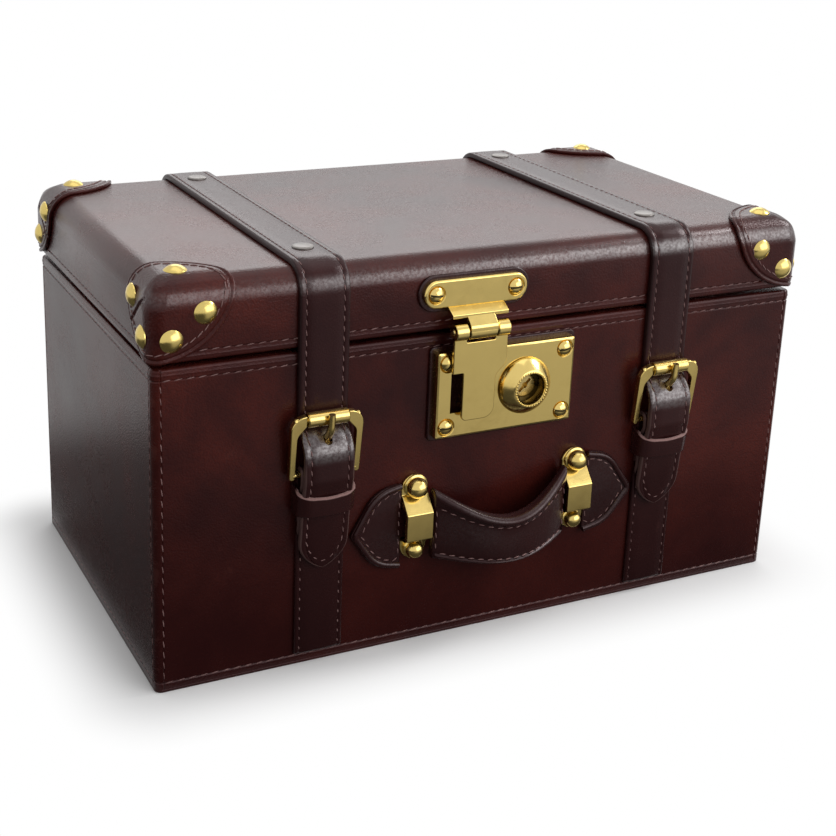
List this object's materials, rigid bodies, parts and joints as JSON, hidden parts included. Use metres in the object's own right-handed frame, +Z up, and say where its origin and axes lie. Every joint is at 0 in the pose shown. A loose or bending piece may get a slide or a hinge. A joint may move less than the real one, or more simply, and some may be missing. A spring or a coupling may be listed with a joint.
{
  "type": "trunk",
  "caption": "Leather-covered storage trunk with a hinged lid, buckled straps, brass hasp lock, front carrying handle and studded leather corner caps.",
  "frame": {"origin": "centre of the base, on the floor", "axes": "+X to the right along the trunk's width, -Y to the front with the lock, +Z up"},
  "size_m": [0.315, 0.1963, 0.177],
  "materials": {
    "leather": "gloss",
    "strap_leather": "gloss",
    "brass": "polished",
    "board": "matt",
    "lining": "matt"
  },
  "bodies": {
    "case": {"case_base_leather": "leather", "case_leather": "leather", "lock_pad": "leather", "base_strap_left": "strap_leather", "base_strap_right": "strap_leather", "keeper_left": "strap_leather", "keeper_right": "strap_leather", "handle_tab_left": "strap_leather", "handle_tab_right": "strap_leather", "handle_bracket_left": "brass", "handle_bracket_right": "brass", "handle_studs": "brass", "lock_plate": "brass", "lock_screws": "brass", "hinge_leaf_case": "brass", "hinge_pin": "brass", "hinge_screws_case": "brass", "case_front_board": "board", "case_back_board": "board", "case_left_board": "board", "case_right_board": "board", "case_bottom_board": "board", "case_lining": "lining"},
    "lid": {"lid_leather": "leather", "corner_cap_front_left": "leather", "corner_cap_front_right": "leather", "corner_cap_back_left": "leather", "corner_cap_back_right": "leather", "corner_studs": "brass", "lid_top_board": "board", "lid_front_board": "board", "lid_back_board": "board", "lid_left_board": "board", "lid_right_board": "board", "lid_lining": "lining", "strap_left_top": "strap_leather", "strap_right_top": "strap_leather", "strap_rivets": "brass", "hasp_pad": "leather", "hasp_plate": "brass", "hasp_screws": "brass", "hasp_pin": "brass", "hinge_leaf_lid": "brass", "hinge_screws_lid": "brass"},
    "hasp": {"hasp_leaf": "brass"},
    "lock_boss": {"lock_boss": "brass", "lock_bolt": "brass"},
    "lock_plug": {"lock_plug": "brass"},
    "handle_grip": {"handle_grip": "strap_leather"},
    "strap_left_tail": {"strap_left_tail": "strap_leather"},
    "buckle_left": {"buckle_left_frame": "brass"},
    "prong_left": {"buckle_left_prong": "brass"},
    "roller_left": {"buckle_left_roller": "brass"},
    "strap_right_tail": {"strap_right_tail": "strap_leather"},
    "buckle_right": {"buckle_right_frame": "brass"},
    "prong_right": {"buckle_right_prong": "brass"},
    "roller_right": {"buckle_right_roller": "brass"}
  },
  "joints": [
    {"name": "lid_hinge", "type": "hinge", "parent": "case", "child": "lid", "pos_m": [0, 0.0881, 0.1394], "axis": [-1, 0, 0], "range_deg": [0, 105]},
    {"name": "hasp_swing", "type": "hinge", "parent": "lid", "child": "hasp", "pos_m": [-0.0155, -0.0935, 0.1415], "axis": [-1, 0, 0], "range_deg": [0, 120]},
    {"name": "lock_slide", "type": "slide", "parent": "case", "child": "lock_boss", "axis": [1, 0, 0], "range_m": [0, 0.005], "stiffness_N_per_m": 150},
    {"name": "lock_turn", "type": "hinge", "parent": "lock_boss", "child": "lock_plug", "pos_m": [0.0087, -0.0905, 0.113], "axis": [0, -1, 0], "range_deg": [0, 90]},
    {"name": "handle_swing", "type": "hinge", "parent": "case", "child": "handle_grip", "pos_m": [0, -0.087, 0.0715], "axis": [-1, 0, 0], "range_deg": [0, 35]},
    {"name": "strap_left_fold", "type": "hinge", "parent": "lid", "child": "strap_left_tail", "pos_m": [-0.0825, -0.0882, 0.1403], "axis": [-1, 0, 0], "range_deg": [0, 100], "deforming": ["strap_left_tail"]},
    {"name": "buckle_left_tilt", "type": "hinge", "parent": "case", "child": "buckle_left", "pos_m": [-0.0825, -0.089, 0.088], "axis": [1, 0, 0], "range_deg": [0, 50]},
    {"name": "prong_left_lift", "type": "hinge", "parent": "buckle_left", "child": "prong_left", "pos_m": [-0.0825, -0.089, 0.088], "axis": [1, 0, 0], "range_deg": [0, 60]},
    {"name": "roller_left_turn", "type": "hinge", "parent": "buckle_left", "child": "roller_left", "pos_m": [-0.0825, -0.0917, 0.112], "axis": [1, 0, 0], "continuous": true},
    {"name": "strap_right_fold", "type": "hinge", "parent": "lid", "child": "strap_right_tail", "pos_m": [0.0825, -0.0882, 0.1403], "axis": [-1, 0, 0], "range_deg": [0, 100], "deforming": ["strap_right_tail"]},
    {"name": "buckle_right_tilt", "type": "hinge", "parent": "case", "child": "buckle_right", "pos_m": [0.0825, -0.089, 0.088], "axis": [1, 0, 0], "range_deg": [0, 50]},
    {"name": "prong_right_lift", "type": "hinge", "parent": "buckle_right", "child": "prong_right", "pos_m": [0.0825, -0.089, 0.088], "axis": [1, 0, 0], "range_deg": [0, 60]},
    {"name": "roller_right_turn", "type": "hinge", "parent": "buckle_right", "child": "roller_right", "pos_m": [0.0825, -0.0917, 0.112], "axis": [1, 0, 0], "continuous": true}
  ]
}
